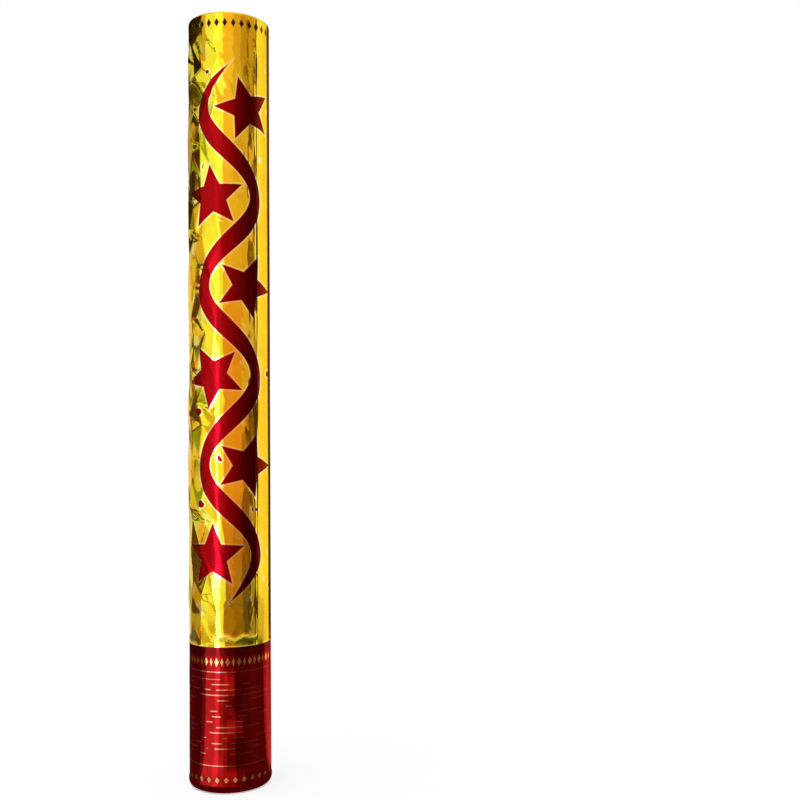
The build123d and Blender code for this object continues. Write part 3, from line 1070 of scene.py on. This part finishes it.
# Each screen runs between two bearings in degrees, and its tiers begin at metres along the floor and up
skirt = 0.04
rise = 0.4
overhead = (1.42, 0.9, warm)
crown_tiers = [(1.135, 0.05, brown), (1.165, 0.9, lemon), (1.195, 0.02, brown), overhead]
front_tiers = [
    (rise, 0.40, olive), (0.62, 0.65, amber), (0.70, 0.85, amber), (0.92, 0.9, warm), (1.05, 1.0, warm),
    (1.26, 2.2, white),
]
screens = [
    (-180, -158, (skirt, 0.2, white), (rise, 0.9, white), (0.75, 0.25, brown), (0.78, 0.95, white),
     (1.06, 0.06, brown), (1.10, 0.5, white), *crown_tiers),
    (-158, -136, (skirt, 0.1, brown), (rise, 0.6, lime), (0.62, 0.95, white), (0.70, 0.1, brown),
     (0.73, 1.0, white), (0.83, 0.3, lime), (0.87, 0.9, white), (0.98, 0.05, brown), (1.06, 0.5, white),
     *crown_tiers),
    (-136, -112, (skirt, 0.12, white), (rise, 0.5, warm), (0.62, 0.1, brown), (0.70, 0.8, white),
     (0.74, 0.1, brown), (0.82, 0.4, amber), (0.87, 0.1, brown), (0.93, 0.8, white), (0.97, 0.4, lime),
     (1.02, 0.05, brown), (1.10, 0.6, white), *crown_tiers),
    (-112, -82, (skirt, 0.12, brown), (rise, 0.55, warm), (0.62, 0.1, brown), (0.68, 0.85, white),
     (0.74, 0.45, lime), (0.79, 0.08, brown), (0.84, 0.9, white), (0.90, 0.06, brown), (0.95, 0.8, warm),
     (1.04, 0.06, brown), (1.10, 0.45, lime), *crown_tiers),
    (-82, -70, (skirt, 0.3, lemon), (rise, 0.15, brown), (0.5, 1.1, lemon), (0.66, 0.25, brown),
     (0.70, 1.1, lemon), (0.78, 0.3, lime), (0.81, 1.0, lemon), (0.86, 0.8, warm), (0.92, 1.0, lemon),
     (1.14, 0.35, lime), (1.18, 0.75, warm)),
    (-70, -41, (skirt, 1.2, lemon), (rise, 0.62, warm), (0.5, 1.15, lemon), (0.62, 0.7, warm),
     (0.68, 1.15, lemon), (0.78, 0.75, warm), (0.83, 1.15, lemon), (1.0, 1.2, lemon), (1.10, 0.45, lime),
     (1.14, 1.1, lemon)),
    (-41, -30, (skirt, 1.9, lemon), (0.36, 6.5, cool), (0.74, 4.5, cool), (0.92, 2.6, lemon),
     (1.0, 1.5, lemon)),
    (-30, -18, (skirt, 1.0, lemon), (0.08, 0.7, lemon), (rise, 1.1, lemon), (1.0, 1.25, lemon)),
    (-18, -9, (skirt, 0.9, warm), (0.056, 0.5, warm), (0.165, 0.32, warm), (0.222, 1.2, warm),
     (0.29, 0.34, warm), *front_tiers),
    (-9, 12, (skirt, 0.8, warm), (0.056, 0.2, warm), (0.12, 0.7, warm), (0.165, 0.17, warm),
     (0.222, 0.75, warm), (0.29, 0.2, warm), *front_tiers),
    (12, 32, (skirt, 0.3, warm), (0.056, 0.08, warm), (0.12, 0.3, warm), (0.165, 0.07, warm),
     (0.222, 0.12, warm), (rise, 0.32, olive), (0.62, 0.5, amber), (0.70, 0.8, amber), (0.92, 0.85, warm),
     (1.05, 0.75, warm), (1.26, 2.0, white)),
    (32, 50, (skirt, 0.12, warm), (rise, 0.12, white), (0.62, 0.25, amber), (0.72, 0.45, amber),
     (0.80, 0.75, warm), (1.12, 0.55, warm), (1.26, 1.5, white)),
    (50, 58, (skirt, 0.15, warm), (rise, 0.1, brown), (0.70, 0.7, warm), (0.76, 0.12, brown),
     (0.86, 0.8, warm), (0.90, 0.1, brown), (1.0, 0.75, warm), (1.05, 0.1, brown), (1.13, 0.7, warm),
     (1.16, 0.12, brown), (1.22, 0.8, warm)),
    (58, 70, (skirt, 0.17, warm), (rise, 0.35, white), (0.62, 0.5, warm), (0.74, 0.25, amber),
     (0.80, 0.75, warm), (0.95, 0.12, brown), (0.98, 0.8, warm), (1.12, 0.15, brown), (1.15, 0.6, warm)),
    (70, 83, (skirt, 0.15, warm), (rise, 0.08, brown), (0.86, 0.6, warm), (0.885, 0.06, brown),
     (0.95, 0.7, warm), (0.985, 0.06, brown), (1.02, 0.7, warm), (1.045, 0.06, brown), (1.075, 0.7, warm),
     (1.09, 0.06, brown), (1.12, 0.7, warm), (1.135, 0.06, brown), (1.16, 0.7, warm), (1.175, 0.06, brown),
     (1.20, 0.7, warm)),
    (83, 104, (skirt, 0.15, warm), (rise, 0.75, white), (0.6, 1.1, white)),
    (104, 114, (skirt, 0.65, white), (0.6, 1.1, white)),
    (114, 135, (skirt, 0.9, white), (rise, 1.05, white), (1.0, 1.0, white)),
    (135, 164, (skirt, 0.5, brown), (rise, 0.08, brown), (1.0, 0.12, brown), overhead),
    (164, 180, (skirt, 0.3, white), (rise, 0.5, white)),
]
for number, screen in enumerate(screens):
    arc_screen(f"screen_{number}", *screen)


def seen(p):
    """1 for what the camera, a reflection or a clear thing shows."""
    kinds = ("Is Camera Ray", "Is Glossy Ray", "Is Transmission Ray")
    camera, glossy, clear = (p.node("ShaderNodeLightPath", out=kind) for kind in kinds)
    return camera.math("MAXIMUM", glossy).math("MAXIMUM", clear)


def white_floor():
    """Matt floor that keeps the shadow and looks nearly white."""
    bm = bmesh.new()
    bmesh.ops.create_circle(bm, cap_ends=True, segments=96, radius=40.0)
    p = paint("floor_white")
    matt = p.node("ShaderNodeBsdfDiffuse", {}, {"Color": (0.9, 0.9, 0.9)})
    glow = p.node("ShaderNodeEmission", {}, {"Color": white, "Strength": 1.0})
    blend = p.node("ShaderNodeMixShader", {}, {0: seen(p) * 0.84, 1: matt, 2: glow})
    floor = put_in_scene("floor", mesh_of("floor", bm, p.surface(blend)))


def white_room():
    """Even white light from all round, at full strength where it is seen."""
    world = bpy.data.worlds.new("white_room")
    bpy.context.scene.world = world
    p = Paint(world)
    strength = seen(p) * 0.25 + 0.75
    p.surface(p.node("ShaderNodeBackground", {}, {"Color": white, "Strength": strength}))


def soft_key():
    """Wide soft lamp from above left, kept out of the reflections."""
    lamp = bpy.data.lights.new("key", "SUN")
    lamp.energy = 1.5
    lamp.angle = math.radians(60)
    stand = put_in_scene("key", lamp)
    stand.location = (-1.0, -1.0, 2.0)
    stand.rotation_mode = "QUATERNION"
    stand.rotation_quaternion = Vector((0.45, 0.08, -0.9)).to_track_quat("-Z", "Y")
    stand.visible_glossy = False


def photo_camera():
    lens = bpy.data.cameras.new("photo_camera")
    lens.sensor_width = 36.0
    lens.lens = 46.94
    lens.clip_start = 0.01
    lens.clip_end = 50.0
    camera = put_in_scene("photo_camera", lens)
    camera.location = (0, -0.5602, 0.1854)
    camera.rotation_euler = (math.radians(91.467), math.radians(0.378), math.radians(-9.255))
    bpy.context.scene.camera = camera


white_floor()
white_room()
soft_key()
photo_camera()
bpy.context.scene.view_settings.view_transform = "Standard"
